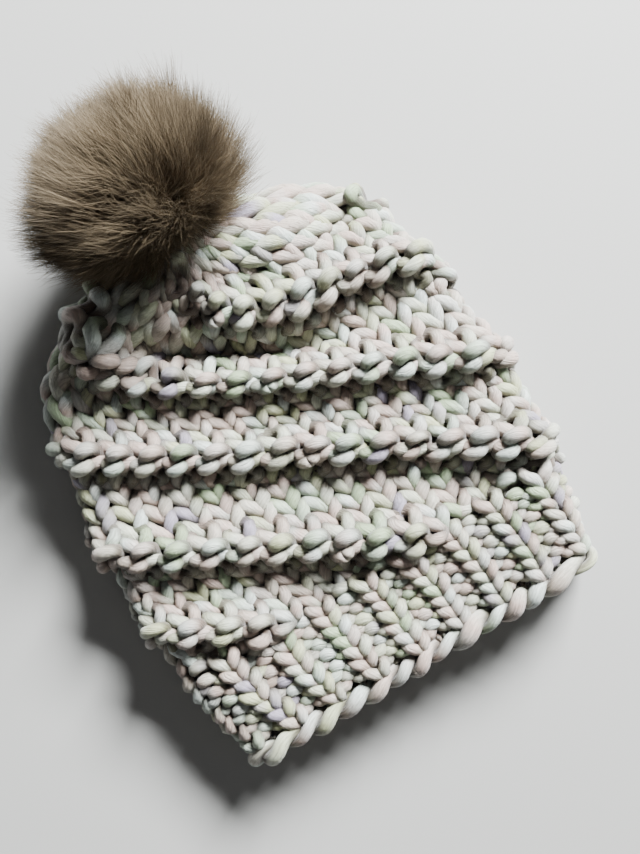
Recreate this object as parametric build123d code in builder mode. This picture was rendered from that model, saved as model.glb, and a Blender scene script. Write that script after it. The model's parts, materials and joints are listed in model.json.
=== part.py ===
"""Pom pom beanie, lying flat on its back layer, in millimetres.

X runs across the hat, Y from the brim to the pom, Z up from the surface that the hat lies on. The origin is on
that surface, under the middle of the whole object. The knitted shell is a flattened tube: a back layer, a front
layer that can lift at the mouth, side folds that join them, and a crown drawn together into a nub. The faux-fur
pom stands on the nub, on a sewn press snap.
"""

import os
from math import cos, radians, sin, tan

from build123d import *

# Knitted shell, seen from above
brim_half_width = 104.0
brim_y = -161.0
side_radius = 353.8
side_flare = 17.0  # lean of the side at the brim, outwards
side_lean = 15.0  # lean of the side at the shoulder, inwards
shoulder_radius = 79.6
rib_top = brim_y + 51.0
hinge_y = brim_y + 205.0
crown_end = brim_y + 255.0

# Knitted shell, in height
wall = 13.0  # one knitted layer
pocket = 9.0  # air between the layers
front_low = wall + pocket
front_high = front_low + wall
round_over = 12.0  # rounding of a layer's outer edge
fold_depth = 14.0  # how far a side fold reaches inwards
lift_gap = 0.3  # between the lifting front layer and what it rests on

# Stitch structures
edge_depth = 9.0  # cast-on edge, half of it in front of the brim line
edge_round = 4.0
loop_pitch = 12.5
loop_count = 16
loop_groove = 1.5
rib_pitch = 24.6
rib_count = 8
rib_groove = 5.0
rib_groove_depth = 3.0
welt_half_width = 8.0
welt_height = 5.0

# Pom axis: it leaves the top of the crown near its far end, tilted up
pom_tilt = 48.0
nub_inset = 20.0  # from the far end in to the nub's base
nub_base_height = 21.0
nub_depth = 24.0  # from the nub's base out to the pivot
pom_reach = 26.0  # from the pivot to the middle of the pom
tilt_y, tilt_z = cos(radians(pom_tilt)), sin(radians(pom_tilt))
pivot_y = crown_end - nub_inset + nub_depth * tilt_y
pivot_z = nub_base_height + nub_depth * tilt_z
pom_frame = Plane(origin=(0, pivot_y, pivot_z), x_dir=(1, 0, 0), z_dir=(0, tilt_y, tilt_z))

# Nub and draw yarn, heights along the pom axis from the pivot
nub_base_radius = 15.0
nub_tip_radius = 2.2
nub_tip = -1.6
draw_radius = 6.3
draw_yarn_radius = 1.8
draw_height = -3.0

# Press snap, heights along the pom axis from the pivot
shank_radius = 2.4
shank_low, shank_high = 0.5, 4.0
snap_radius = 6.0
stud_low, stud_high = 4.2, 5.4
post_radius, post_high = 1.7, 6.6
head_radius, head_high = 2.0, 8.2
socket_low, socket_high = 5.9, 9.5
socket_lip, socket_roof = 0.7, 0.8
socket_hole = 2.15
socket_cavity = 3.4
spring_radius, spring_wire = 2.75, 0.5
stitch_count = 4
stitch_hole = 0.8
stitch_hole_ring = 4.7
thread_radius = 0.35
stitch_reach = 0.15  # how far a stitch stands out of its hole

# Pom
base_radius = 8.5
base_high = 11.5
core_radius = 16.5
backing_wall = 1.2
backing_low = base_high
gather_radius, gather_thread = 4.2, 0.6
stuffing_gap = 0.3
stuffing_low = backing_low + 2.2
fur_radius = pivot_z + pom_reach * tilt_z  # the pom just touches the surface
fur_gap = 0.3
fur_base_low = 7.5
fur_base_slope = 15.0
fur_base_hole = 9.2

big = 400.0  # larger than the object, for cutting away whole sides

# Middle lines of the raised welts on the front face: start, middle and end, X and Y from the middle of the brim
welts = {
    "welt_1": ((92, 173), (36, 177), (-10, 194)),
    "welt_2": ((108, 113), (32, 144), (-42, 197)),
    "welt_3": ((101, 57), (-2, 113), (-92, 184)),
    "welt_4": ((33, 58), (-36, 84), (-105, 130)),
    "welt_5": ((-68, 60), (-88, 64), (-105, 72)),
    "crown_welt": ((-56, 213), (-63, 220), (-68, 229)),
}


def shell_outline(height):
    """The flattened shell seen from above: brim line, two sides, two shoulders and a short flat far end."""
    flare = radians(side_flare)
    with BuildSketch(Plane.XY.offset(height)) as shell:
        with BuildLine():
            side = JernArc(
                start=(brim_half_width, brim_y),
                tangent=(sin(flare), cos(flare)),
                radius=side_radius,
                arc_size=side_flare + side_lean,
            )
            shoulder = JernArc(start=side @ 1, tangent=side % 1, radius=shoulder_radius, arc_size=90 - side_lean)
            Line(shoulder @ 1, (0, (shoulder @ 1).Y))
            Line((0, brim_y), (brim_half_width, brim_y))
            mirror(about=Plane.YZ)
        make_face()
    return shell.sketch


def inner_outline(height):
    """The pocket seen from above: the outline less the folds' depth, running out past the brim."""
    with BuildSketch(Plane.XY.offset(height)) as inner:
        add(shell_outline(0))
        offset(amount=-fold_depth)
        with Locations((0, brim_y)):
            Rectangle(2 * (brim_half_width - fold_depth), 3 * fold_depth)
    return inner.sketch


def keep_between(y_low, y_high, x_low=-big, x_high=big):
    """Cuts the part in work down to a range of Y, and of X where it is given."""
    with Locations(((x_low + x_high) / 2, (y_low + y_high) / 2, 0)):
        Box(x_high - x_low, y_high - y_low, big, mode=Mode.INTERSECT)


def add_nub(mode):
    """The gathered nub, a cone along the pom axis, added to or cut from the part in work."""
    with Locations(pom_frame.offset(nub_tip)):
        up_to_tip = (Align.CENTER, Align.CENTER, Align.MAX)
        Cone(nub_base_radius, nub_tip_radius, nub_depth + nub_tip, align=up_to_tip, mode=mode)


def cut_rib_grooves(height):
    """The sunk purl columns of the rib, round-bottomed channels along Y in the face at the given height."""
    with Locations((0, (brim_y + rib_top) / 2, height + rib_groove - rib_groove_depth)):
        with GridLocations(rib_pitch, 1, rib_count, 1):
            Cylinder(rib_groove, big, rotation=(90, 0, 0), mode=Mode.SUBTRACT)


def save(piece, name):
    """Labels a finished piece and writes it."""
    piece.part.label = name
    export_step(piece.part, f"parts/{name}.step")


def whole_layer(low, rounded_face):
    """One knitted layer from brim to far end, with the outer edge of its outer face rounded."""
    with BuildPart() as layer:
        extrude(shell_outline(low), amount=wall)
        outer_face = layer.faces().sort_by(Axis.Z)[rounded_face]
        rim = outer_face.edges().filter_by(lambda edge: edge.center().Y > brim_y + 1)
        fillet(rim, radius=round_over)
    return layer.part


def make_cast_on_edge(name, low):
    """The rope of twisted loops along the mouth, with a groove between one loop and the next."""
    with BuildPart() as edge:
        with BuildSketch(Plane.YZ.offset(-brim_half_width)):
            with Locations((brim_y, low + wall / 2)):
                profile = Rectangle(edge_depth, wall)
            fillet(profile.vertices().sort_by(Axis.X)[:2], radius=edge_round)
        extrude(amount=2 * brim_half_width)
        with Locations((0, brim_y - edge_depth / 2, low + wall / 2)):
            with GridLocations(loop_pitch, 1, loop_count, 1):
                Cylinder(loop_groove, big, mode=Mode.SUBTRACT)
    save(edge, name)


def make_layer_zone(name, layer, y_low, y_high, grooves_at=None):
    """One zone of a knitted layer: its rib, its stockinette body or its crown."""
    with BuildPart() as zone:
        add(layer)
        keep_between(y_low, y_high)
        if grooves_at is not None:
            cut_rib_grooves(grooves_at)
        add_nub(Mode.SUBTRACT)
    save(zone, name)


def make_fold(name, height, y_low, y_high, x_low, x_high):
    """A stretch of the folded edge, where the front layer turns into the back layer."""
    with BuildPart() as fold:
        extrude(shell_outline(wall), amount=height)
        extrude(inner_outline(wall), amount=pocket, mode=Mode.SUBTRACT)
        keep_between(y_low, y_high, x_low, x_high)
        add_nub(Mode.SUBTRACT)
    save(fold, name)


def make_welt(name, start, middle, end):
    """A raised purl welt along an arc through three points of the front face, given from the brim line."""
    points = [(x, brim_y + y, front_high) for x, y in (start, middle, end)]
    with BuildPart() as welt:
        with BuildLine() as path:
            line = ThreePointArc(*points)
        across = Vector(0, 0, 1).cross(line % 0)
        with BuildSketch(Plane(origin=line @ 0, x_dir=across, z_dir=line % 0)):
            Ellipse(welt_half_width, welt_height)
            Rectangle(big, big, align=(Align.CENTER, Align.MAX), mode=Mode.SUBTRACT)
        sweep(path=path.line)
    save(welt, name)


def make_shell():
    """The knitted shell, zone by zone."""
    back, front = whole_layer(0, 0), whole_layer(front_low, -1)
    edge_end = brim_y + edge_depth / 2

    make_cast_on_edge("back_cast_on_edge", 0)
    make_cast_on_edge("front_cast_on_edge", front_low)
    make_layer_zone("back_rib_brim", back, edge_end, rib_top, grooves_at=wall)
    make_layer_zone("front_rib_brim", front, edge_end, rib_top, grooves_at=front_high)
    make_layer_zone("back_body", back, rib_top, hinge_y)
    make_layer_zone("front_body", front, rib_top, hinge_y - lift_gap)
    make_layer_zone("back_crown", back, hinge_y, big)
    make_layer_zone("front_crown", front, hinge_y, big)

    for side, x_low, x_high in (("left", -big, 0), ("right", 0, big)):
        make_fold(f"{side}_side_fold", pocket - lift_gap, brim_y, hinge_y, x_low, x_high)
        make_fold(f"{side}_crown_fold", pocket, hinge_y, big, x_low, x_high)

    for name, points in welts.items():
        make_welt(name, *points)


def make_nub():
    """The crown's last stitches, drawn together into a nub by the closing yarn."""
    with BuildPart() as nub:
        add_nub(Mode.ADD)
        split(bisect_by=Plane.XY.offset(wall), keep=Keep.TOP)
    save(nub, "crown_nub")

    with BuildPart(pom_frame.offset(draw_height)) as draw_yarn:
        Torus(draw_radius, draw_yarn_radius)
    save(draw_yarn, "crown_draw_yarn")


def add_disc(radius, low, high, mode=Mode.ADD):
    """A disc about the pom axis between two heights, added to or cut from the part in work."""
    with Locations((0, 0, (low + high) / 2)):
        Cylinder(radius, high - low, mode=mode)


def make_snap():
    """The wound thread shank and the two halves of the press snap."""
    with BuildPart(pom_frame) as shank:
        Sphere(shank_high)
        add_disc(shank_radius, shank_low, shank_high, mode=Mode.INTERSECT)
    save(shank, "thread_shank")

    with BuildPart(pom_frame) as stud:
        add_disc(snap_radius, stud_low, stud_high)
        add_disc(post_radius, stud_high, post_high)
        add_disc(head_radius, post_high, head_high)
        with PolarLocations(stitch_hole_ring, stitch_count):
            Cylinder(stitch_hole, big, mode=Mode.SUBTRACT)
    save(stud, "snap_stud")

    with BuildPart(pom_frame) as socket:
        add_disc(snap_radius, socket_low, socket_high)
        add_disc(socket_hole, socket_low, socket_low + socket_lip, mode=Mode.SUBTRACT)
        add_disc(socket_cavity, socket_low + socket_lip, socket_high - socket_roof, mode=Mode.SUBTRACT)
        with PolarLocations(stitch_hole_ring, stitch_count):
            Cylinder(stitch_hole, big, mode=Mode.SUBTRACT)
    save(socket, "snap_socket")

    with BuildPart(pom_frame.offset((socket_low + socket_lip + head_high) / 2)) as spring:
        Torus(spring_radius, spring_wire)
    save(spring, "snap_spring")


def make_stitches(name, low, high):
    """Loops of sewing thread that pass through a snap half's holes, one loop to a hole."""
    with BuildPart(pom_frame.offset((low + high) / 2)) as stitches:
        with PolarLocations(stitch_hole_ring, stitch_count):
            Cylinder(thread_radius, high - low)
    save(stitches, name)


def make_pom():
    """The pom: felt base, gathered fur fabric round a ball of stuffing, and the fur pile."""
    with BuildPart(pom_frame) as base:
        add_disc(base_radius, socket_high, base_high)
    save(base, "pom_base_disc")

    with BuildPart(pom_frame) as backing:
        with Locations((0, 0, pom_reach)):
            Sphere(core_radius)
            Sphere(core_radius - backing_wall, mode=Mode.SUBTRACT)
        add_disc(big, base_high - big, backing_low, mode=Mode.SUBTRACT)
    save(backing, "pom_fur_backing")

    with BuildPart(pom_frame.offset(backing_low + gather_thread)) as gather:
        Torus(gather_radius, gather_thread)
    save(gather, "pom_gather_thread")

    with BuildPart(pom_frame) as stuffing:
        with Locations((0, 0, pom_reach)):
            Sphere(core_radius - backing_wall - stuffing_gap)
        add_disc(big, stuffing_low - big, stuffing_low, mode=Mode.SUBTRACT)
    save(stuffing, "pom_stuffing")

    slope_rise = fur_radius * tan(radians(fur_base_slope))
    pile_top = pom_reach + fur_radius
    with BuildPart() as fur:
        with BuildSketch(Plane(origin=pom_frame.origin, x_dir=pom_frame.x_dir, z_dir=-pom_frame.y_dir)):
            with Locations((0, pom_reach)):
                Circle(fur_radius)
                Circle(core_radius + fur_gap, mode=Mode.SUBTRACT)
            above_slope = ((0, pile_top), (0, fur_base_low), (fur_radius, fur_base_low + slope_rise), (fur_radius, pile_top))
            Polygon(*above_slope, align=None, mode=Mode.INTERSECT)
            Rectangle(fur_base_hole, pom_reach, align=Align.MIN, mode=Mode.SUBTRACT)
        revolve(axis=Axis(pom_frame.origin, pom_frame.z_dir))
    save(fur, "pom_fur")


os.makedirs("parts", exist_ok=True)
make_shell()
make_nub()
make_snap()
make_stitches("stud_stitches", stud_low - stitch_reach, stud_high + stitch_reach)
make_stitches("socket_stitches", socket_low + stitch_reach, socket_high)
make_pom()
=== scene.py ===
"""Pom pom beanie, hand-knitted in super-bulky hand-dyed yarn, with a faux-fur pom, lying on its back layer.

The knitting is built as yarn: every course is one path that loops through the course below it, laid over the
surface of the flattened hat. All lengths are metres, in the frame of the CAD model.
"""

import json
import math

import bpy
import numpy as np
from mathutils import Matrix, Vector


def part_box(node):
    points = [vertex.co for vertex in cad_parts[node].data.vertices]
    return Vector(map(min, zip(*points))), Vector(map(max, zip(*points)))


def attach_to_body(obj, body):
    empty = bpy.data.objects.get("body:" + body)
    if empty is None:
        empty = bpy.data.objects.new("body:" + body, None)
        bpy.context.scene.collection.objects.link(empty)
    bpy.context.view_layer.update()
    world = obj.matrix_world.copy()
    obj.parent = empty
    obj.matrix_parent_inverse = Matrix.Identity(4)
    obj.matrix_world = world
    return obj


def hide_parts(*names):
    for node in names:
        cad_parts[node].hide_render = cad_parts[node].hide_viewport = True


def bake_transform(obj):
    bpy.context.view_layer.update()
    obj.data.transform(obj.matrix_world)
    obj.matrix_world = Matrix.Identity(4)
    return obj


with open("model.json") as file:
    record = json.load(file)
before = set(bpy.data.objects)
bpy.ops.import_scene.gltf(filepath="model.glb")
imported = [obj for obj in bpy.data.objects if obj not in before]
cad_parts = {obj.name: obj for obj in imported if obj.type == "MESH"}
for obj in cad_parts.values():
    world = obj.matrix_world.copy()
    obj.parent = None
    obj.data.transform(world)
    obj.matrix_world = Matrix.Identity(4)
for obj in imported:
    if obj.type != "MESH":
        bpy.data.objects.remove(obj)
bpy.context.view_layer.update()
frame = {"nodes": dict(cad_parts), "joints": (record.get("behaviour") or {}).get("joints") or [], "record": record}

MM = 0.001
RNG_SEED = 11
TINY = 1e-12  # keeps a division from failing where a length is nothing

# ---------------------------------------------------------------- sizes, read from the frame
edge_low, edge_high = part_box("front_cast_on_edge")
BRIM_Y = (edge_low.y + edge_high.y) / 2
BRIM_HALF = edge_high.x
BODY_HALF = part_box("front_body")[1].x
HINGE_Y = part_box("front_crown")[0].y
RIB_TOP_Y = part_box("front_rib_brim")[1].y
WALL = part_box("back_body")[1].z
FRONT_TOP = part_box("front_body")[1].z
FUR_LOW, FUR_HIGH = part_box("pom_fur")
JOINTS = {joint["name"]: joint for joint in frame["joints"]}
PIVOT = np.array(JOINTS["pom_spin"]["pos_m"])
POM_AXIS = np.array(JOINTS["pom_spin"]["axis"])
POM_UP = np.array(JOINTS["pom_sway"]["axis"])
ACROSS = np.array([1.0, 0.0, 0.0])
POM_RADIUS = (FUR_HIGH.x - FUR_LOW.x) / 2
POM_CENTRE = PIVOT + POM_AXIS * ((POM_RADIUS - PIVOT[2]) / POM_AXIS[2])

# ---------------------------------------------------------------- the fabric
STITCHES = 35
REPEAT = 7
RIB_ROWS = 7
BODY_ROWS = 18
CROWN_ROWS = 7
TUBE_ROWS = RIB_ROWS + BODY_ROWS
ROWS = TUBE_ROWS + CROWN_ROWS
CROWN_Y = BRIM_Y + 195 * MM
EDGE_TO_FIRST_ROW = 3 * MM
LEAN = math.tan(math.radians(10))
FOLD_RADIUS = (FRONT_TOP - WALL) / 2
MID_Z = FRONT_TOP / 2
NUB_RADIUS = 8 * MM
NUB_DROP = 5.5 * MM  # from the pom's pivot down to the last course
ROW_PITCH = (CROWN_Y - RIB_TOP_Y) / BODY_ROWS
STITCH_PITCH = 12.5 * MM
SKEW = 10 * MM  # how far the front rows sit nearer to the brim than the back rows, at the crown
SECTION_LOSS = 3.3  # rounded down, the stitches that each section of the crown has lost at its last course

# The curve of the crown's columns at the front, the sides and the back: the lengths, in millimetres, of its
# handles at the body and at the nub, and how many degrees it dips at the nub
CROWN_LEAD = (24, 34, 34)
CROWN_TAIL = (22, 52, 14)
CROWN_DIP = (50, 8, 25)

# Unevenness: its size, its waves round the hat and how far they turn, in radians, in each row
WALE_WANDER = (0.22, 2, 0.45)
ROW_WANDER = (0.2, 3, 0.3)
SLUMP = 1.1 * MM
SLUMP_WAVES = ((1, 3, 0.5, 0), (0.8, 5, -0.35, 1))  # the same, with a phase

YARN_RADIUS = 3.15 * MM
LOOP_ROWS = 0.8
LOOP_BULGE = 0.24
PURL_NARROWING = 0.07
BODY_FURROW, CROWN_FURROW = 0.03, 0.09  # how far, in stitches, a knit stitch's legs draw together
YARN_TWIST = 160.0  # radians for each metre
YARN_THINNEST, YARN_THICKEST = 0.9, 1.22
YARN_PLUMP = 0.97
YARN_PINCH, YARN_FOOT_PINCH = 0.11, 0.04  # how the yarn thins where it lies behind, and at a loop's foot
YARN_UNEVEN = 0.06
LOOP_DEPTH = 2.9 * MM
LOOP_UNEVEN = 0.05  # in the size of a stitch, and in stitches along the course
DEPTH_UNEVEN = 0.4 * MM
TURN_HIDDEN, TURN_OPEN = 0.6, -0.5  # how the yarn faces from knit to purl: where a welt begins, elsewhere
RIB_RISE = 1.6 * MM
SIDE_FLATTENING = 0.6  # how much lower the relief is at the side folds and underneath
WALE_SHIFT = 0.4
WELT_START = 5.5  # stitches and rows together at the middle of the first welt
WELT_HALF = 1.01  # half the width of a welt, in stitches
WELT_WIDTH = 1.15
WELT_SINK = 0.3
WELT_RISE = 9.5 * MM
WELT_LEAN = 3.8 * MM
WELT_LEAN_SHARPNESS = 0.4
WELT_SQUEEZE = 0.62
WELT_SQUEEZE_WIDTH = 1.5
WELTS_RUNNING_ON = 2  # welts that run on into the crown
LAST_WELT_ROW = RIB_ROWS + BODY_ROWS + 2
LAST_GATHERED_ROW = LAST_WELT_ROW + 4
SAMPLES = 20
SIDES = 12

# Gathers at the crown, from the middle of the brim
CREASE_Y = 206 * MM
CREASE_SLOPE = 0.42
CREASE_X, CREASE_HALF = 10 * MM, 36 * MM
CREASE_PULL = 12 * MM
PULL_BELOW, PULL_ABOVE = 45 * MM, 34 * MM
FOLD_X, FOLD_HALF = -4 * MM, 44 * MM
CREASE_DEPTH = 13 * MM
FOLD_UNDER_WELT = 20 * MM
FOLD_BELOW, FOLD_ABOVE = 15 * MM, 16 * MM
SIDE_STRETCH = 10 * MM
STRETCH_X, STRETCH_EASE = 45 * MM, 60 * MM
STRETCH_Y, STRETCH_REACH = 170 * MM, 50 * MM
CROWN_BULGES = (  # place across and along, reach, and rise of each soft bulge or hollow
    (-24 * MM, 226 * MM, 15 * MM, 10 * MM),
    (-58 * MM, 220 * MM, 14 * MM, 8 * MM),
    (-34 * MM, 202 * MM, 12 * MM, -7 * MM),
    (76 * MM, 216 * MM, 13 * MM, -6 * MM),
    (40 * MM, 220 * MM, 18 * MM, 5 * MM),
)

FLOOR_GAP = 0.2 * MM
FLOOR_SOFTNESS = 0.7 * MM  # how gradually the yarn flattens against the floor
EDGE_ROW = 0.1  # the row that the cast-on edge follows
EDGE_OUT = 4.5 * MM
EDGE_LIFT = 1.0 * MM
DRAW_RADIUS = 1.6 * MM
EDGE_TURNS = 15
EDGE_ROPE_RADIUS = 2.9 * MM
EDGE_YARN_RADIUS = 3.8 * MM
EDGE_THINNER = 0.22  # how much thinner the second strand is
EDGE_UNEVEN_TWIST = 0.45
EDGE_UNEVEN = 0.12
EDGE_THICKNESS, EDGE_THICKENING = 0.94, 0.18  # of the yarn, and how it thickens on the fabric's outer side
EDGE_BALL, DRAW_BALL = 31.0, 57.0  # how far along the ball, in metres, these yarns are taken from
DRAW_TURNS = 2

# ---------------------------------------------------------------- the pom
CORE_RADIUS = (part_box("pom_fur_backing")[1].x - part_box("pom_fur_backing")[0].x) / 2
HAIRS = 46000
LOCKS = 520
HAIR_RINGS, HAIR_SIDES = 5, 3
HAIR_RADIUS = 0.15 * MM
HAIR_TAPER = 0.85
HAIR_THINNEST, HAIR_THICKEST = 0.7, 1.2
HAIR_BEND_AT, HAIR_BEND = 0.6, 1.8 * MM  # where along the hair it bends, and how much
BALD_BELOW = -0.9  # no hair grows nearer to the base than this, from -1 at the base to 1 at the top
ROOT_SCATTER, TIP_SCATTER, LOCK_LEAN = 0.03, 0.1, 0.24
LEAST_GATHER, MOST_GATHER = 0.3, 0.75
COMB = (-0.1, 0.4, 0.0)  # the way the hair leans: away from the brim and a little to the left

# How far the tips reach from the pom's centre, in pom radii. The changes to the left and at the hat start once
# a hair points that way by more than the second value.
HAIR_LENGTH, LENGTH_SCATTER = 0.94, 0.06
LONGER_LEFT, LEFT_FROM = 0.08, 0.2
SHORTER_AHEAD, SHORTER_BEHIND = 0.24, 0.16  # away from the brim, and towards it
SHORTER_AT_HAT, HAT_FROM = 0.3, 0.4
SHORTEST_HAIR = 0.6
LONGEST_PAST = 9 * MM  # past the pom's radius
LOCK_TONE = 0.4  # how much of a hair's tone it shares with its lock
PILE_PIECES = 6
CORE_RINGS, CORE_SEGMENTS = 40, 96
CORE_PLEATS, PLEAT_DEPTH, PLEAT_FADE = 16, 0.07, 4
CORE_UNEVEN, CORE_UNEVEN_WAVES = 0.012, 3
CORE_OPENING = 0.02  # share of the half turn left flat at each end of the core

# ---------------------------------------------------------------- the view
VIEW_ROLL = 31.0
VIEW_X = 15 * MM
VIEW_Y = 127 * MM
VIEW_HEIGHT = 0.42
VIEW_SPAN = 0.428
SENSOR = 36
FLOOR_SIZE = 8
FLOOR_COLOUR = (0.45, 0.445, 0.43, 1)
# The two lights: metres towards the picture's top and right, height, size, power and colour
WINDOW = (1.65, 0.8, 1.1, (0.9, 0.6), 350, (0.96, 0.99, 1.0))
FILL = (-0.9, 0.5, 1.1, (1.2, 1.2), 1.2, (1.0, 0.96, 0.9))
ROOM_COLOUR, ROOM_STRENGTH = (0.9, 0.94, 1.0, 1), 0.08


def half_width(y):
    """Half the width of the fabric's middle surface at y, along the sides."""
    middle = (BRIM_Y + HINGE_Y) / 2
    reach = (y - middle) / (middle - BRIM_Y)
    return BODY_HALF - (BODY_HALF - BRIM_HALF) * reach**2 - WALL / 2


def straight_half(y):
    """Half the width of a layer between its two side folds, at y."""
    return half_width(y) - FOLD_RADIUS


def length_round(y):
    """Length round the flattened ring at y."""
    return 4 * straight_half(y) + 2 * math.pi * FOLD_RADIUS


def turn_of(u, y):
    """How far round the ring at y stitch u lies. The columns lean as they rise."""
    return (u + WALE_SHIFT) / STITCHES - 0.5 - LEAN * (y - RIB_TOP_Y) / length_round(y)


def row_to_y(row):
    """Where a row of the tube lies along Y."""
    stops = [0, RIB_ROWS, TUBE_ROWS]
    heights = [BRIM_Y + EDGE_TO_FIRST_ROW, RIB_TOP_Y, CROWN_Y]
    return np.interp(row, stops, heights)


def ring_point(y, turn):
    """A point of the flattened ring at y. turn runs from -0.5 to 0.5, with 0 at the front layer's middle."""
    turn = (turn + 0.5) % 1.0 - 0.5
    straight = straight_half(y)
    along = np.abs(turn) * length_round(y)
    past_fold = straight + math.pi * FOLD_RADIUS
    angle = np.clip((along - straight) / FOLD_RADIUS, 0, math.pi)
    x = np.where(along < past_fold, np.minimum(along, straight), straight + past_fold - along)
    x = x + FOLD_RADIUS * np.sin(angle)
    z = MID_Z + FOLD_RADIUS * np.cos(angle)
    return np.stack([np.sign(turn) * x, np.broadcast_to(y, x.shape), z], -1)


def mix(a, b, share):
    """From a to b by a share."""
    return a * (1 - share) + b * share


def skewed(y, turn):
    """Where a ring at y lies along Y at a turn: towards the crown, the front sits nearer to the brim."""
    share = np.clip((y - RIB_TOP_Y) / (CROWN_Y - RIB_TOP_Y), 0, 1)
    return y - SKEW * np.cos(2 * math.pi * turn) * share**2


def by_side(shares, values):
    """The mean of the values for the front, the sides and the back, by the share of each."""
    return sum(share * value for share, value in zip(shares, values))[..., None]


def crown_point(row, turn):
    """A point of the crown, on a curve from the ring at the crown's first row to the nub."""
    share = np.clip((row - TUBE_ROWS) / CROWN_ROWS, 0, 1)[..., None]
    start = ring_point(skewed(CROWN_Y, turn), turn)
    angle = turn * 2 * math.pi
    radial = np.cos(angle)[..., None] * POM_UP + np.sin(angle)[..., None] * ACROSS
    end = PIVOT - POM_AXIS * NUB_DROP + radial * NUB_RADIUS
    front, back = np.clip(np.cos(angle), 0, 1), np.clip(-np.cos(angle), 0, 1)
    shares = (front, 1 - front - back, back)
    lead = by_side(shares, CROWN_LEAD) * MM
    tail = by_side(shares, CROWN_TAIL) * MM
    dip = np.radians(by_side(shares, CROWN_DIP))
    first = start + np.array([0, 1.0, 0]) * lead
    second = end + (radial * np.cos(dip) - POM_AXIS * np.sin(dip)) * tail
    left = 1 - share
    return left**3 * start + 3 * left**2 * share * first + 3 * left * share**2 * second + share**3 * end


def surface(u, v):
    """The fabric's middle surface. u counts stitches round the hat from the back's middle, v counts rows."""
    around = 2 * math.pi * u / STITCHES
    ease = np.clip(v / RIB_ROWS, 0, 1)
    size, waves, per_row = WALE_WANDER
    u = u + size * np.sin(per_row * v + waves * around) * ease
    size, waves, per_row = ROW_WANDER
    v = v + size * np.sin(per_row * v + waves * around) * ease
    y = row_to_y(np.minimum(v, TUBE_ROWS))
    turn = (turn_of(u, y) + 0.5) % 1.0 - 0.5
    point = np.where((v > TUBE_ROWS)[..., None], crown_point(v, turn), ring_point(skewed(y, turn), turn))
    return drape(point)


def swell(distance, below, above):
    """A smooth bump of height one at distance zero, down to nothing at the two widths given."""
    share = np.clip(distance / np.where(distance < 0, below, above), -1, 1)
    return 0.5 + 0.5 * np.cos(math.pi * share)


def drape(point):
    """The crown's front, gathered: its welt is pulled towards the brim, and the band under it folds in."""
    x, y = point[..., 0], point[..., 1] - BRIM_Y
    front = np.clip((point[..., 2] - MID_Z) / FOLD_RADIUS, 0, 1) ** 2
    past_welt = y - (CREASE_Y - CREASE_SLOPE * x)
    middle = np.exp(-(((x - CREASE_X) / CREASE_HALF) ** 2)) * front
    right = np.clip((x - STRETCH_X) / STRETCH_EASE, 0, 1) * front
    pull = CREASE_PULL * middle * swell(past_welt, PULL_BELOW, PULL_ABOVE)
    stretch = SIDE_STRETCH * right * swell(y - STRETCH_Y, STRETCH_REACH, STRETCH_REACH)
    folded = np.exp(-(((x - FOLD_X) / FOLD_HALF) ** 2)) * front
    fold = CREASE_DEPTH * folded * swell(past_welt + FOLD_UNDER_WELT, FOLD_BELOW, FOLD_ABOVE)
    bulge = sum(
        rise * front * np.exp(-((x - at_x) ** 2 + (y - at_y) ** 2) / reach**2)
        for at_x, at_y, reach, rise in CROWN_BULGES
    )
    return point + np.stack([np.zeros_like(x), stretch - pull, bulge - fold], -1)


def surface_frame(u, v):
    """Point and outward normal of the fabric's middle surface."""
    step = 0.15
    du = surface(u + step, v) - surface(u - step, v)
    dv = surface(u, v + step) - surface(u, v - step)
    normal = np.cross(du, dv)
    normal /= np.linalg.norm(normal, axis=-1, keepdims=True) + TINY
    return surface(u, v), normal


def welt_phase(u, v):
    """Stitches past the middle of the last welt, which moves one stitch left in each row."""
    return (u + v - WELT_START) % REPEAT


def welt_distance(u, v):
    """Distance in stitches from the middle of the nearest welt."""
    phase = welt_phase(u, v)
    return np.minimum(phase, REPEAT - phase)


def is_purl(u, v, stitch):
    """Rib: every other stitch. Body: the two stitches of each welt."""
    if v < RIB_ROWS:
        return stitch % 2 == 1
    return (welt_distance(u, v) < WELT_HALF) & (welt_share(u, v) > 0)


def welt_share(u, v):
    """One in the rows that have welts, easing to nothing at the rib and crown, where two welts run on."""
    number = np.floor((u + v - WELT_START) / REPEAT + 0.5) % (STITCHES // REPEAT)
    last = np.where(number < WELTS_RUNNING_ON, LAST_GATHERED_ROW, LAST_WELT_ROW)
    return np.clip(v - RIB_ROWS + 0.5, 0, 1) * np.clip(last + 0.5 - v, 0, 1)


def lift(u, v):
    """How far the fabric stands off its middle surface: a welt rises, and the band on its brim side sinks."""
    ridge = (1 + WELT_SINK) * np.exp(-((welt_distance(u, v) / WELT_WIDTH) ** 2)) - WELT_SINK
    turn = welt_phase(u, v) * 2 * math.pi / REPEAT
    welt = WELT_RISE * ridge + WELT_LEAN * (np.sin(turn) + WELT_LEAN_SHARPNESS * np.sin(2 * turn))
    rib = RIB_RISE * np.sin(math.pi * u)
    return mix(rib * (v < RIB_ROWS + 1), welt, welt_share(u, v))


def slump(u, v):
    """The soft unevenness of the whole fabric."""
    around = 2 * math.pi * u / STITCHES
    return SLUMP * sum(
        size * np.sin(waves * around + per_row * v + phase) for size, waves, per_row, phase in SLUMP_WAVES
    )


def closed_tangent(point):
    """Step from each point of a closed path to the next, averaged with the step before it."""
    return (np.roll(point, -1, axis=0) - np.roll(point, 1, axis=0)) / 2


def smooth_closed(values, width):
    """Moving average round a closed row of values."""
    kernel = np.hanning(width * 2 + 3)[1:-1]
    kernel /= kernel.sum()
    around = np.concatenate([values[-width:], values, values[:width]])
    return np.convolve(around, kernel, "valid")


def smooth_noise(count, width, rng):
    """Closed row of random values with no change over lengths much under width, of unit spread."""
    values = smooth_closed(rng.normal(size=count), width)
    return values / values.std()


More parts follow.
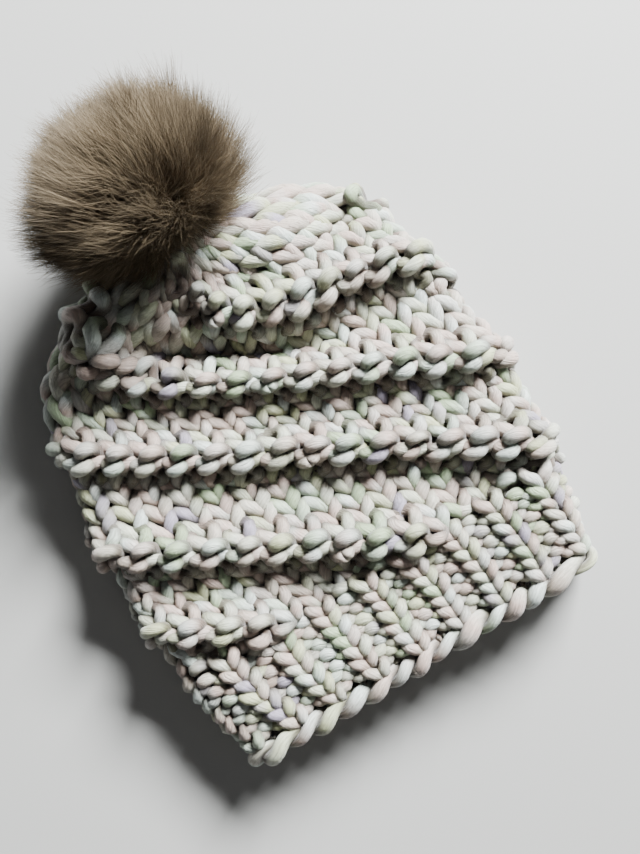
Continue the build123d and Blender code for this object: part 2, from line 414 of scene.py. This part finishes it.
def crown_count(row):
    """Stitches in a course. The crown loses one stitch in each of its seven sections every few rows."""
    fewer = np.interp(row, [TUBE_ROWS + 1, ROWS - 1], [0, SECTION_LOSS])
    return REPEAT * (STITCHES // REPEAT - int(fewer))


def fullness(u, v, widen):
    """How the yarn plumps up where the fabric is stretched and packs down where it is gathered."""
    along = np.linalg.norm(surface(u, v + 0.5) - surface(u, v - 0.5), axis=1) / ROW_PITCH
    across = np.linalg.norm(surface(u + 0.5, v) - surface(u - 0.5, v), axis=1) * widen / STITCH_PITCH
    return smooth_closed(np.clip(np.sqrt(along * across), YARN_THINNEST, YARN_THICKEST), SAMPLES)


def facing_along(face, own, here, row):
    """One where the yarn is in a knit stitch, minus one in a purl stitch, and in between where it turns."""
    last, following = face[own - 1], face[(own + 1) % len(face)]
    to_next = np.clip(here / (0.5 * math.pi) - 3, 0, 1) * 0.5
    to_last = np.clip(1 - here / (0.5 * math.pi), 0, 1) * 0.5
    facing = face[own] * (1 - to_next - to_last) + following * to_next + last * to_last
    turns_to_purl = np.where(to_next > 0, following < face[own], face[own] < last)
    hidden = np.where(turns_to_purl & (row >= RIB_ROWS), TURN_HIDDEN, TURN_OPEN)
    return facing + hidden * (1 - np.abs(facing))


def course(row, rng):
    """The yarn of one course: points, outward normals, radius, and the stitch position of each point."""
    count = crown_count(row)
    widen = STITCHES / count
    stitch = np.arange(count)
    centre = (stitch + 0.5) * widen
    face = np.where(is_purl(centre, row + 0.5, stitch), -1.0, 1.0)
    t = np.arange(count * SAMPLES) * (2 * math.pi / SAMPLES)
    own = np.repeat(stitch, SAMPLES)
    here = np.arange(count * SAMPLES) % SAMPLES * (2 * math.pi / SAMPLES)
    facing = facing_along(face, own, here, row)

    size = smooth_closed(1 + LOOP_UNEVEN * rng.normal(size=count)[own], SAMPLES // 3)
    u = t / (2 * math.pi) + (LOOP_BULGE + PURL_NARROWING * facing) * np.sin(2 * t)
    furrow = CROWN_FURROW if row >= TUBE_ROWS - 1 else BODY_FURROW
    u = (u + furrow * np.clip(facing, 0, 1) * np.sin(2 * math.pi * u)) * widen
    u = u + LOOP_UNEVEN * smooth_noise(len(t), SAMPLES, rng)
    v = row + 0.5 - LOOP_ROWS * size * np.cos(t)
    arc = np.round(t / math.pi) / 2
    arc_u, arc_v = arc * widen, row + 0.5 - LOOP_ROWS * np.cos(2 * math.pi * arc)
    past = (welt_phase(arc_u, arc_v) + REPEAT / 2) % REPEAT - REPEAT / 2
    squeeze = WELT_SQUEEZE * past * np.exp(-((past / WELT_SQUEEZE_WIDTH) ** 2)) * welt_share(arc_u, arc_v)
    v = v - smooth_closed(squeeze, SAMPLES // 4)
    rise = smooth_closed(lift(centre, row + 0.5)[own], SAMPLES // 2) + slump(u, v)
    depth = LOOP_DEPTH * -np.cos(2 * t) * facing + DEPTH_UNEVEN * smooth_noise(len(t), SAMPLES, rng)
    point, normal = surface_frame(u, v)
    under, aside = np.clip(-normal[:, 2], 0, 1), np.abs(normal[:, 0])
    rise = rise * (1 - SIDE_FLATTENING * under - SIDE_FLATTENING * aside)
    point = point + normal * (depth + rise)[:, None]
    plump = YARN_PLUMP - YARN_PINCH * np.cos(2 * t) * facing - YARN_FOOT_PINCH * np.cos(t)
    uneven = 1 + YARN_UNEVEN * smooth_noise(len(t), 3 * SAMPLES, rng)
    radius = YARN_RADIUS * plump * uneven * fullness(u, v, widen)
    return point, normal, radius, depth, u


class Tubes:
    """Collects yarn runs into the arrays of one mesh."""

    def __init__(self):
        self.verts, self.quads, self.caps, self.strand, self.height = [], [], [], [], []
        self.count = 0

    def add(self, point, tangent, normal, radius, depth, start):
        """One run of yarn, depth off the fabric's middle, which begins at start along its ball. The depth only
        sets the painted shade: the yarn is drawn darker the nearer it lies to the fabric's middle.
        """
        step = np.linalg.norm(tangent, axis=1)
        tangent = tangent / (step[:, None] + TINY)
        side = np.cross(tangent, normal)
        side /= np.linalg.norm(side, axis=1, keepdims=True) + TINY
        up = np.cross(side, tangent)
        angle = np.arange(SIDES) * (2 * math.pi / SIDES)
        out = side[:, None] * np.cos(angle)[None, :, None] + up[:, None] * np.sin(angle)[None, :, None]
        self.verts.append((point[:, None] + out * radius[:, None, None]).reshape(-1, 3))
        along = start + np.cumsum(step)
        turned = angle[None] + YARN_TWIST * along[:, None]
        across, over = radius[:, None] * np.cos(turned), radius[:, None] * np.sin(turned)
        self.strand.append(np.stack([np.repeat(along, SIDES), across.ravel(), over.ravel()], 1))
        # How far each corner of the tube lies off the fabric's middle; the wool is painted darker by it, as
        # painted shade in the recesses between the loops
        off = depth[:, None] + radius[:, None] * np.einsum("isk,ik->is", out, normal)
        self.height.append(np.abs(off).ravel())
        rings = len(point)
        ring = self.count + np.arange(rings - 1)[:, None] * SIDES
        a = ring + np.arange(SIDES)[None]
        b = ring + (np.arange(SIDES)[None] + 1) % SIDES
        self.quads.append(np.stack([a, b, b + SIDES, a + SIDES], -1).reshape(-1, 4))
        self.caps.append(self.count + np.arange(SIDES)[::-1])
        self.caps.append(self.count + (rings - 1) * SIDES + np.arange(SIDES))
        self.count += rings * SIDES
        return along[-1]

    def build(self, name, material):
        """The mesh object, lying flat where it touches the surface under it."""
        verts = np.concatenate(self.verts)
        above = (verts[:, 2] - FLOOR_GAP) / FLOOR_SOFTNESS
        verts[:, 2] = FLOOR_GAP + FLOOR_SOFTNESS * np.logaddexp(0, above)
        quads = np.concatenate(self.quads)
        obj = mesh_object(name, verts, quads, self.caps)
        strand = obj.data.attributes.new("strand", "FLOAT_VECTOR", "POINT")
        strand.data.foreach_set("vector", np.concatenate(self.strand).astype(np.float32).ravel())
        # The attribute from which the wool's painted shade is read
        height = obj.data.attributes.new("height", "FLOAT", "POINT")
        height.data.foreach_set("value", np.concatenate(self.height).astype(np.float32))
        obj.data.materials.append(material)
        return obj


def mesh_object(name, verts, quads, extra=()):
    """A smooth-shaded mesh object from vertex and quad arrays, and a list of other polygons."""
    loops = np.concatenate([quads.ravel(), *extra]) if len(extra) else quads.ravel()
    sizes = np.concatenate([np.full(len(quads), 4), [len(face) for face in extra]]).astype(np.int32)
    mesh = bpy.data.meshes.new(name)
    mesh.vertices.add(len(verts))
    mesh.vertices.foreach_set("co", verts.astype(np.float32).ravel())
    mesh.loops.add(len(loops))
    mesh.loops.foreach_set("vertex_index", loops.astype(np.int32))
    mesh.polygons.add(len(sizes))
    mesh.polygons.foreach_set("loop_start", np.concatenate([[0], np.cumsum(sizes)[:-1]]).astype(np.int32))
    mesh.update(calc_edges=True)
    mesh.validate()
    mesh.shade_smooth()
    obj = bpy.data.objects.new(name, mesh)
    bpy.context.collection.objects.link(obj)
    return obj


# ---------------------------------------------------------------- materials
def new_material(name):
    """An empty material, with its node tree and shader."""
    material = bpy.data.materials.new(name)
    material.use_nodes = True
    tree = material.node_tree
    return material, tree, tree.nodes["Principled BSDF"]


def node(tree, kind, **settings):
    """Adds a shader node. Settings name its properties, or its inputs where they have that name."""
    made = tree.nodes.new(kind)
    for name, value in settings.items():
        if hasattr(made, name):
            setattr(made, name, value)
        else:
            made.inputs[name.replace("_", " ")].default_value = value
    return made


def ramp(tree, fac, stops):
    """A colour ramp driven by fac, with a place and a colour for each stop."""
    made = tree.nodes.new("ShaderNodeValToRGB")
    while len(made.color_ramp.elements) < len(stops):
        made.color_ramp.elements.new(0.5)
    for element, (place, colour) in zip(made.color_ramp.elements, stops):
        element.position = place
        element.color = (*colour, 1)
    tree.links.new(fac, made.inputs["Fac"])
    return made.outputs["Color"]


def yarn_material():
    """Hand-dyed wool: cream with long soft patches of colour along the yarn, and fibres twisted round it. Yarn
    lying deep in the fabric, near its middle, is painted darker: painted shade in the recesses between and behind
    the loops.
    """
    material, tree, shader = new_material("hand_dyed_wool")
    link = tree.links.new
    strand = node(tree, "ShaderNodeAttribute", attribute_name="strand")
    parts = node(tree, "ShaderNodeSeparateXYZ")
    link(strand.outputs["Vector"], parts.inputs[0])
    patches = node(tree, "ShaderNodeTexNoise", noise_dimensions="1D", Scale=11.0, Detail=2.0, Roughness=0.5)
    link(parts.outputs["X"], patches.inputs["W"])
    colour = ramp(
        tree,
        patches.outputs["Fac"],
        [
            (0.28, (0.37, 0.33, 0.42)),
            (0.36, (0.51, 0.54, 0.31)),
            (0.44, (0.61, 0.64, 0.53)),
            (0.51, (0.56, 0.42, 0.36)),
            (0.59, (0.63, 0.70, 0.66)),
            (0.68, (0.39, 0.50, 0.30)),
        ],
    )
    stretch = node(tree, "ShaderNodeMapping", Scale=(0.1, 1, 1))
    link(strand.outputs["Vector"], stretch.inputs["Vector"])
    fibres = node(tree, "ShaderNodeTexNoise", Scale=1500.0, Detail=4.0, Roughness=0.6)
    link(stretch.outputs[0], fibres.inputs["Vector"])
    shade = ramp(tree, fibres.outputs["Fac"], [(0.32, (0.42, 0.4, 0.38)), (0.66, (1.0, 1.0, 1.0))])
    tint = node(tree, "ShaderNodeMix", data_type="RGBA", blend_type="MULTIPLY")
    tint.inputs["Factor"].default_value = 0.7
    link(colour, tint.inputs["A"])
    link(shade, tint.inputs["B"])
    # Painted shade: the nearer the yarn lies to the fabric's middle, the darker it is drawn, down to about a fifth
    # of its colour, in the recesses between and behind the loops
    height = node(tree, "ShaderNodeAttribute", attribute_name="height")
    reach = node(tree, "ShaderNodeMapRange", interpolation_type="SMOOTHSTEP")
    reach.inputs["From Min"].default_value = 1.2 * MM
    reach.inputs["From Max"].default_value = 6.2 * MM
    link(height.outputs["Fac"], reach.inputs["Value"])
    painted_recess_shade = ramp(
        tree,
        reach.outputs[0],
        [(0.0, (0.22, 0.19, 0.16)), (0.6, (0.78, 0.77, 0.74)), (1.0, (1.0, 1.0, 1.0))],
    )
    painted_shade_mix = node(tree, "ShaderNodeMix", data_type="RGBA", blend_type="MULTIPLY")
    painted_shade_mix.inputs["Factor"].default_value = 1.0
    link(tint.outputs["Result"], painted_shade_mix.inputs["A"])
    link(painted_recess_shade, painted_shade_mix.inputs["B"])
    link(painted_shade_mix.outputs["Result"], shader.inputs["Base Color"])
    bump = node(tree, "ShaderNodeBump", Strength=0.9, Distance=0.0011)
    link(fibres.outputs["Fac"], bump.inputs["Height"])
    link(bump.outputs[0], shader.inputs["Normal"])
    shader.inputs["Roughness"].default_value = 0.52
    shader.inputs["Sheen Weight"].default_value = 0.35
    shader.inputs["Sheen Roughness"].default_value = 0.5
    shader.inputs["Specular IOR Level"].default_value = 0.6
    return material


def fur_material():
    """Faux fur: dark at the root, taupe along the hair, pale at some tips."""
    material, tree, shader = new_material("faux_fur")
    link = tree.links.new
    hair = node(tree, "ShaderNodeAttribute", attribute_name="hair")
    parts = node(tree, "ShaderNodeSeparateXYZ")
    link(hair.outputs["Vector"], parts.inputs[0])
    colour = ramp(
        tree,
        parts.outputs["X"],
        [
            (0.0, (0.075, 0.054, 0.035)),
            (0.35, (0.112, 0.084, 0.054)),
            (0.75, (0.148, 0.114, 0.073)),
            (1.0, (0.215, 0.174, 0.118)),
        ],
    )
    shade = ramp(tree, parts.outputs["Y"], [(0.0, (0.55, 0.52, 0.5)), (1.0, (1.25, 1.2, 1.15))])
    tint = node(tree, "ShaderNodeMix", data_type="RGBA", blend_type="MULTIPLY")
    tint.inputs["Factor"].default_value = 1.0
    link(colour, tint.inputs["A"])
    link(shade, tint.inputs["B"])
    link(tint.outputs["Result"], shader.inputs["Base Color"])
    shader.inputs["Roughness"].default_value = 0.55
    shader.inputs["Specular IOR Level"].default_value = 0.22
    return material


# ---------------------------------------------------------------- the knitted shell
def zone_of(row):
    """Which zone of the shell a course belongs to."""
    if row < RIB_ROWS:
        return "rib"
    return "body" if row_to_y(row + 0.5) < HINGE_Y and row < TUBE_ROWS else "crown"


def split_course(u, row):
    """Index runs of a course by side: front left, front right and back. Runs share their end points."""
    middle = u.reshape(-1, SAMPLES).mean(1)
    turn = turn_of(middle, row_to_y(min(row + 0.5, TUBE_ROWS)))
    side = np.where(np.abs(turn) > 0.25, 2, (turn > 0).astype(int))
    runs = {}
    for number, name in enumerate(("front_left", "front_right", "back")):
        members = np.flatnonzero(side == number)
        gap = np.flatnonzero(np.diff(members) > 1)
        first = members[gap[0] + 1] if len(gap) else members[0]
        runs[name] = (first * SAMPLES + np.arange(len(members) * SAMPLES + 1)) % len(u)
    return runs


def make_knitting(material):
    """All courses, gathered into one mesh for each zone and side."""
    rng = np.random.default_rng(RNG_SEED)
    pieces = {}
    ball = 0.0
    for row in range(ROWS):
        point, normal, radius, depth, u = course(row, rng)
        tangent = closed_tangent(point)
        zone = zone_of(row)
        for side, run in split_course(u, row).items():
            tubes = pieces.setdefault(f"{zone}_{side}", Tubes())
            ball = tubes.add(point[run], tangent[run], normal[run], radius[run], depth[run], ball)
    return {name: tubes.build(f"knit_{name}", material) for name, tubes in pieces.items()}


def make_cast_on(material):
    """The cast-on edge: two strands of yarn twisted into a rope round the mouth."""
    rng = np.random.default_rng(RNG_SEED + 1)
    samples = STITCHES * SAMPLES
    u = np.arange(samples) / SAMPLES
    pieces = {}
    ball = EDGE_BALL
    uneven_twist = EDGE_UNEVEN_TWIST * smooth_noise(samples, 2 * SAMPLES, rng)
    for strand in (0, 1):
        centre, normal = surface_frame(u, np.full_like(u, EDGE_ROW))
        outward = np.array([0, -1.0, 0])
        angle = -2 * math.pi * EDGE_TURNS * u / STITCHES + strand * math.pi + uneven_twist
        offset = normal * np.cos(angle)[:, None] + outward * np.sin(angle)[:, None]
        rope = EDGE_ROPE_RADIUS * (1 + EDGE_UNEVEN * smooth_noise(samples, SAMPLES, rng))
        point = centre + outward * EDGE_OUT + normal * EDGE_LIFT + offset * rope[:, None]
        thick = EDGE_YARN_RADIUS * (1.0 - EDGE_THINNER * strand)
        uneven = 1 + EDGE_UNEVEN * smooth_noise(samples, SAMPLES, rng)
        radius = thick * uneven * (EDGE_THICKNESS + EDGE_THICKENING * np.cos(angle))
        tangent = closed_tangent(point)
        for side, run in split_course(u, 0).items():
            tubes = pieces.setdefault(side, Tubes())
            # A fixed depth, which sets the painted shade on the side of each strand that faces the rope's middle
            depth = np.full(len(run), EDGE_ROPE_RADIUS)
            ball = tubes.add(point[run], tangent[run], offset[run], radius[run], depth, ball)
    return {name: tubes.build(f"cast_on_{name}", material) for name, tubes in pieces.items()}


def make_draw_yarn(material):
    """The closing yarn: two turns drawn tight round the nub."""
    low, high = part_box("crown_draw_yarn")
    reach = (high.x - low.x) / 2
    middle = np.array((low + high) / 2)
    angle = np.linspace(0, 2 * DRAW_TURNS * math.pi, 3 * DRAW_TURNS * SAMPLES)
    radial = np.cos(angle)[:, None] * ACROSS + np.sin(angle)[:, None] * POM_UP
    climb = POM_AXIS * (DRAW_RADIUS * (angle / (2 * math.pi) - DRAW_TURNS / 2))[:, None]
    point = middle + radial * (reach - DRAW_RADIUS) + climb
    tubes = Tubes()
    # A fixed depth, which sets the painted shade on the closing yarn's inner side, towards the nub
    still = np.full(len(point), 2 * DRAW_RADIUS)
    thick = np.full(len(point), DRAW_RADIUS)
    tubes.add(point, np.gradient(point, axis=0), radial, thick, still, DRAW_BALL)
    return tubes.build("draw_yarn", material)


# ---------------------------------------------------------------- the pom
def make_core(material):
    """The stuffed ball of fur backing, its edge gathered into pleats where it is drawn up at the base."""
    polar = np.linspace(CORE_OPENING, 1 - CORE_OPENING, CORE_RINGS) * math.pi
    spin = np.arange(CORE_SEGMENTS) * (2 * math.pi / CORE_SEGMENTS)
    near_base = np.clip(-np.cos(polar), 0, 1)[:, None] ** PLEAT_FADE
    pleat = 1 - PLEAT_DEPTH * near_base * (0.5 + 0.5 * np.cos(CORE_PLEATS * spin)[None])
    pleat = pleat + CORE_UNEVEN * np.sin(CORE_UNEVEN_WAVES * spin)[None]
    out = np.sin(polar)[:, None, None] * (np.cos(spin)[:, None] * ACROSS + np.sin(spin)[:, None] * POM_UP)
    out = out + np.cos(polar)[:, None, None] * POM_AXIS
    verts = (POM_CENTRE + out * (CORE_RADIUS * pleat)[..., None]).reshape(-1, 3)
    a = np.arange(CORE_RINGS - 1)[:, None] * CORE_SEGMENTS + np.arange(CORE_SEGMENTS)
    b = np.roll(a, -1, axis=1)
    quads = np.stack([a, a + CORE_SEGMENTS, b + CORE_SEGMENTS, b], -1).reshape(-1, 4)
    ends = [np.arange(CORE_SEGMENTS), (CORE_RINGS * CORE_SEGMENTS - 1) - np.arange(CORE_SEGMENTS)]
    obj = mesh_object("pom_core", verts, quads, ends)
    obj.data.materials.append(material)
    return obj


def hair_directions(rng):
    """Even directions out of the core for all hairs, except round its base."""
    number = np.arange(HAIRS)
    height = 1 - 2 * (number + 0.5) / HAIRS
    spin = number * math.pi * (3 - math.sqrt(5))
    ring = np.sqrt(1 - height**2)
    direction = ring[:, None] * (np.cos(spin)[:, None] * ACROSS + np.sin(spin)[:, None] * POM_UP)
    direction += height[:, None] * POM_AXIS
    direction += rng.normal(scale=ROOT_SCATTER, size=direction.shape)
    direction /= np.linalg.norm(direction, axis=1, keepdims=True)
    return direction[direction @ POM_AXIS > BALD_BELOW]


def hair_reach(tip_direction, nearest, rng):
    """How far each tip is from the pom's centre."""
    spread = HAIR_LENGTH + LENGTH_SCATTER * rng.normal(size=LOCKS)[nearest]
    spread = spread + LENGTH_SCATTER * rng.normal(size=len(nearest))
    spread = spread + LONGER_LEFT * np.clip(-tip_direction[:, 0] - LEFT_FROM, 0, 1)
    combed = tip_direction[:, 1]
    spread = spread - np.where(combed > 0, SHORTER_AHEAD, -SHORTER_BEHIND) * combed
    spread = spread - SHORTER_AT_HAT * np.clip(-combed - HAT_FROM, 0, 1)
    return np.clip(POM_RADIUS * spread, POM_RADIUS * SHORTEST_HAIR, POM_RADIUS + LONGEST_PAST)


def hair_paths(share, rng):
    """The middle line of every hair, and the lock that each one leans into."""
    direction = hair_directions(rng)
    root = POM_CENTRE + direction * CORE_RADIUS
    locks = direction[rng.choice(len(direction), LOCKS, replace=False)]
    nearest = np.argmax(direction @ locks.T, axis=1)
    lean = rng.normal(scale=LOCK_LEAN, size=(LOCKS, 3))[nearest]
    gather = rng.uniform(LEAST_GATHER, MOST_GATHER, len(direction))[:, None]
    tip_direction = direction * (1 - gather) + (locks[nearest] + lean) * gather
    tip_direction += rng.normal(scale=TIP_SCATTER, size=direction.shape)
    tip_direction += np.array(COMB)
    tip_direction /= np.linalg.norm(tip_direction, axis=1, keepdims=True)
    reach = hair_reach(tip_direction, nearest, rng)
    tip = POM_CENTRE + tip_direction * reach[:, None]
    bend = POM_CENTRE + direction * (CORE_RADIUS + HAIR_BEND_AT * (reach - CORE_RADIUS))[:, None]
    bend += rng.normal(scale=HAIR_BEND, size=bend.shape)
    path = (1 - share) ** 2 * root[:, None] + 2 * (1 - share) * share * bend[:, None]
    path = path + share**2 * tip[:, None]
    path[..., 2] = np.maximum(path[..., 2], FLOOR_GAP + 1 * MM * rng.uniform(size=(len(path), 1)))
    return path, nearest


def hair_tubes(path, share, rng):
    """The corners of the tapered tube round every hair's middle line."""
    tangent = np.gradient(path, axis=1)
    tangent /= np.linalg.norm(tangent, axis=2, keepdims=True) + TINY
    across = np.cross(tangent, rng.normal(size=(len(path), 1, 3)))
    across /= np.linalg.norm(across, axis=2, keepdims=True) + TINY
    over = np.cross(tangent, across)
    thick = rng.uniform(HAIR_THINNEST, HAIR_THICKEST, (len(path), 1))
    taper = HAIR_RADIUS * (1.0 - HAIR_TAPER * share[..., 0] ** 2) * thick
    angle = np.arange(HAIR_SIDES) * (2 * math.pi / HAIR_SIDES)
    out = across[:, :, None] * np.cos(angle)[:, None] + over[:, :, None] * np.sin(angle)[:, None]
    return path[:, :, None] + out * taper[:, :, None, None]


def make_pile(material):
    """The pom's hair: tapered strands that fan out of the core, gathered into locks, in a few meshes."""
    rng = np.random.default_rng(RNG_SEED + 2)
    share = np.linspace(0, 1, HAIR_RINGS)[None, :, None]
    path, nearest = hair_paths(share, rng)
    verts = hair_tubes(path, share, rng)
    tone = rng.uniform(size=len(path)) * (1 - LOCK_TONE) + rng.uniform(size=LOCKS)[nearest] * LOCK_TONE

    group = np.arange(len(path)) % PILE_PIECES
    corner = np.arange(HAIR_SIDES)[None, None]
    made = []
    for piece in range(PILE_PIECES):
        mine = np.flatnonzero(group == piece)
        base = np.arange(len(mine))[:, None, None] * (HAIR_RINGS * HAIR_SIDES)
        step = base + np.arange(HAIR_RINGS - 1)[None, :, None] * HAIR_SIDES
        a = step + corner
        b = step + (corner + 1) % HAIR_SIDES
        quads = np.stack([a, b, b + HAIR_SIDES, a + HAIR_SIDES], -1).reshape(-1, 4)
        obj = mesh_object(f"pom_pile_{piece + 1}", verts[mine].reshape(-1, 3), quads)
        hair = np.zeros((len(mine), HAIR_RINGS, HAIR_SIDES, 3), np.float32)
        hair[..., 0] = share[0, :, 0][None, :, None]
        hair[..., 1] = tone[mine][:, None, None]
        attribute = obj.data.attributes.new("hair", "FLOAT_VECTOR", "POINT")
        attribute.data.foreach_set("vector", hair.ravel())
        obj.data.materials.append(material)
        made.append(obj)
    return made


# ---------------------------------------------------------------- floor, light and camera
def make_stage():
    """A plain pale floor."""
    bpy.ops.mesh.primitive_plane_add(size=FLOOR_SIZE, location=(0, 0, 0))
    floor = bpy.context.object
    floor.name = "floor"
    material, _, shader = new_material("pale_floor")
    shader.inputs["Base Color"].default_value = FLOOR_COLOUR
    shader.inputs["Roughness"].default_value = 0.7
    floor.data.materials.append(material)


def add_light(name, place, aim, size, power, colour):
    """A rectangular light at a place, turned to its aim."""
    data = bpy.data.lights.new(name, "AREA")
    data.shape = "RECTANGLE"
    data.size, data.size_y = size
    data.energy = power
    data.color = colour
    light = bpy.data.objects.new(name, data)
    bpy.context.collection.objects.link(light)
    light.location = place
    light.rotation_mode = "QUATERNION"
    light.rotation_quaternion = (Vector(aim) - Vector(place)).to_track_quat("-Z", "Y")


def make_view():
    """A camera straight above, turned so that the pom is at the upper left, a window and a weak fill."""
    roll = math.radians(VIEW_ROLL)
    up = Vector((math.sin(roll), math.cos(roll), 0))
    right = Vector((math.cos(roll), -math.sin(roll), 0))
    target = Vector((VIEW_X, BRIM_Y + VIEW_Y, FRONT_TOP))
    data = bpy.data.cameras.new("camera")
    camera = bpy.data.objects.new("camera", data)
    bpy.context.collection.objects.link(camera)
    camera.matrix_world = Matrix(
        (
            (right.x, up.x, 0, target.x),
            (right.y, up.y, 0, target.y),
            (0, 0, 1, target.z + VIEW_HEIGHT),
            (0, 0, 0, 1),
        )
    )
    data.sensor_fit = "AUTO"
    data.sensor_width = SENSOR
    data.lens = SENSOR * VIEW_HEIGHT / VIEW_SPAN
    bpy.context.scene.camera = camera

    for name, (upward, rightward, height, size, power, colour) in (("window", WINDOW), ("fill", FILL)):
        place = up * upward + right * rightward + Vector((0, 0, height))
        add_light(name, place, (0, 0, 0), size, power, colour)
    world = bpy.data.worlds.new("room")
    bpy.context.scene.world = world
    world.use_nodes = True
    background = world.node_tree.nodes["Background"]
    background.inputs["Color"].default_value = ROOM_COLOUR
    background.inputs["Strength"].default_value = ROOM_STRENGTH


def plain_materials():
    """Finishes for the parts of the pom's fastening, which stay as they are in the model."""
    looks = {
        "snap_metal": ((0.72, 0.72, 0.73), 0.25, 1.0),
        "spring_steel": ((0.5, 0.5, 0.52), 0.35, 1.0),
        "sewing_thread": ((0.33, 0.26, 0.19), 0.8, 0.0),
        "felt": ((0.14, 0.1, 0.07), 0.95, 0.0),
    }
    made = {}
    for name, (colour, rough, metal) in looks.items():
        material, tree, shader = new_material(name)
        coords = node(tree, "ShaderNodeTexCoord")
        noise = node(tree, "ShaderNodeTexNoise", Scale=900.0, Detail=4.0)
        tree.links.new(coords.outputs["Object"], noise.inputs["Vector"])
        dark = tuple(channel * 0.7 for channel in colour)
        tint = ramp(tree, noise.outputs["Fac"], [(0.3, dark), (0.7, colour)])
        tree.links.new(tint, shader.inputs["Base Color"])
        bump = node(tree, "ShaderNodeBump", Strength=0.3, Distance=0.0002)
        tree.links.new(noise.outputs["Fac"], bump.inputs["Height"])
        tree.links.new(bump.outputs[0], shader.inputs["Normal"])
        shader.inputs["Roughness"].default_value = rough
        shader.inputs["Metallic"].default_value = metal
        made[name] = material
    slots = {part["node"]: part["material_slot"] for part in frame["record"]["subparts"]}
    for name, obj in frame["nodes"].items():
        if slots[name] in made:
            obj.data.materials.clear()
            obj.data.materials.append(made[slots[name]])


def backing_material():
    """Knitted backing cloth of the fur: a fine brown mesh."""
    material, tree, shader = new_material("fur_backing_cloth")
    coords = node(tree, "ShaderNodeTexCoord")
    loops = node(tree, "ShaderNodeTexVoronoi", Scale=900.0)
    tree.links.new(coords.outputs["Object"], loops.inputs["Vector"])
    tint = ramp(tree, loops.outputs["Distance"], [(0.0, (0.16, 0.12, 0.08)), (0.6, (0.06, 0.045, 0.03))])
    tree.links.new(tint, shader.inputs["Base Color"])
    bump = node(tree, "ShaderNodeBump", Strength=0.8, Distance=0.0004, invert=True)
    tree.links.new(loops.outputs["Distance"], bump.inputs["Height"])
    tree.links.new(bump.outputs[0], shader.inputs["Normal"])
    shader.inputs["Roughness"].default_value = 0.9
    return material


def attach(knit, edge, pile):
    """The back pieces and the crown ride on the hat's back, the pile on the pom; the other front pieces have their
    transforms baked in.
    """
    for name, obj in [*knit.items(), *edge.items()]:
        if "front" in name and "crown" not in name:
            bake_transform(obj)
        else:
            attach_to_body(obj, "hat_back")
    for obj in pile:
        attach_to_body(obj, "pom")
        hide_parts("pom_fur")


STANDS_FOR = {
    "rib_front_left": ("front_rib_brim",),
    "rib_front_right": ("front_rib_brim",),
    "rib_back": ("back_rib_brim",),
    "body_front_left": ("front_body", "welt_3", "welt_4", "welt_5"),
    "body_front_right": ("front_body", "welt_1", "welt_2", "welt_3", "welt_4"),
    "body_back": ("back_body", "left_side_fold", "right_side_fold"),
    "crown_front_left": ("front_crown", "left_crown_fold", "crown_welt", "crown_nub"),
    "crown_front_right": ("front_crown", "right_crown_fold", "crown_nub"),
    "crown_back": ("back_crown", "left_crown_fold", "right_crown_fold"),
}

wool = yarn_material()
knit = make_knitting(wool)
edge = make_cast_on(wool)
pile = make_pile(fur_material())
attach(knit, edge, pile)
draw_yarn = make_draw_yarn(wool)
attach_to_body(draw_yarn, "hat_back")
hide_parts("crown_draw_yarn")
core = make_core(backing_material())
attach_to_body(core, "pom")
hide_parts("pom_fur_backing", "pom_stuffing")
for name, nodes in STANDS_FOR.items():
    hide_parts(*nodes)
for side, obj in edge.items():
    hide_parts("back_cast_on_edge" if side == "back" else "front_cast_on_edge")
plain_materials()
make_stage()
make_view()
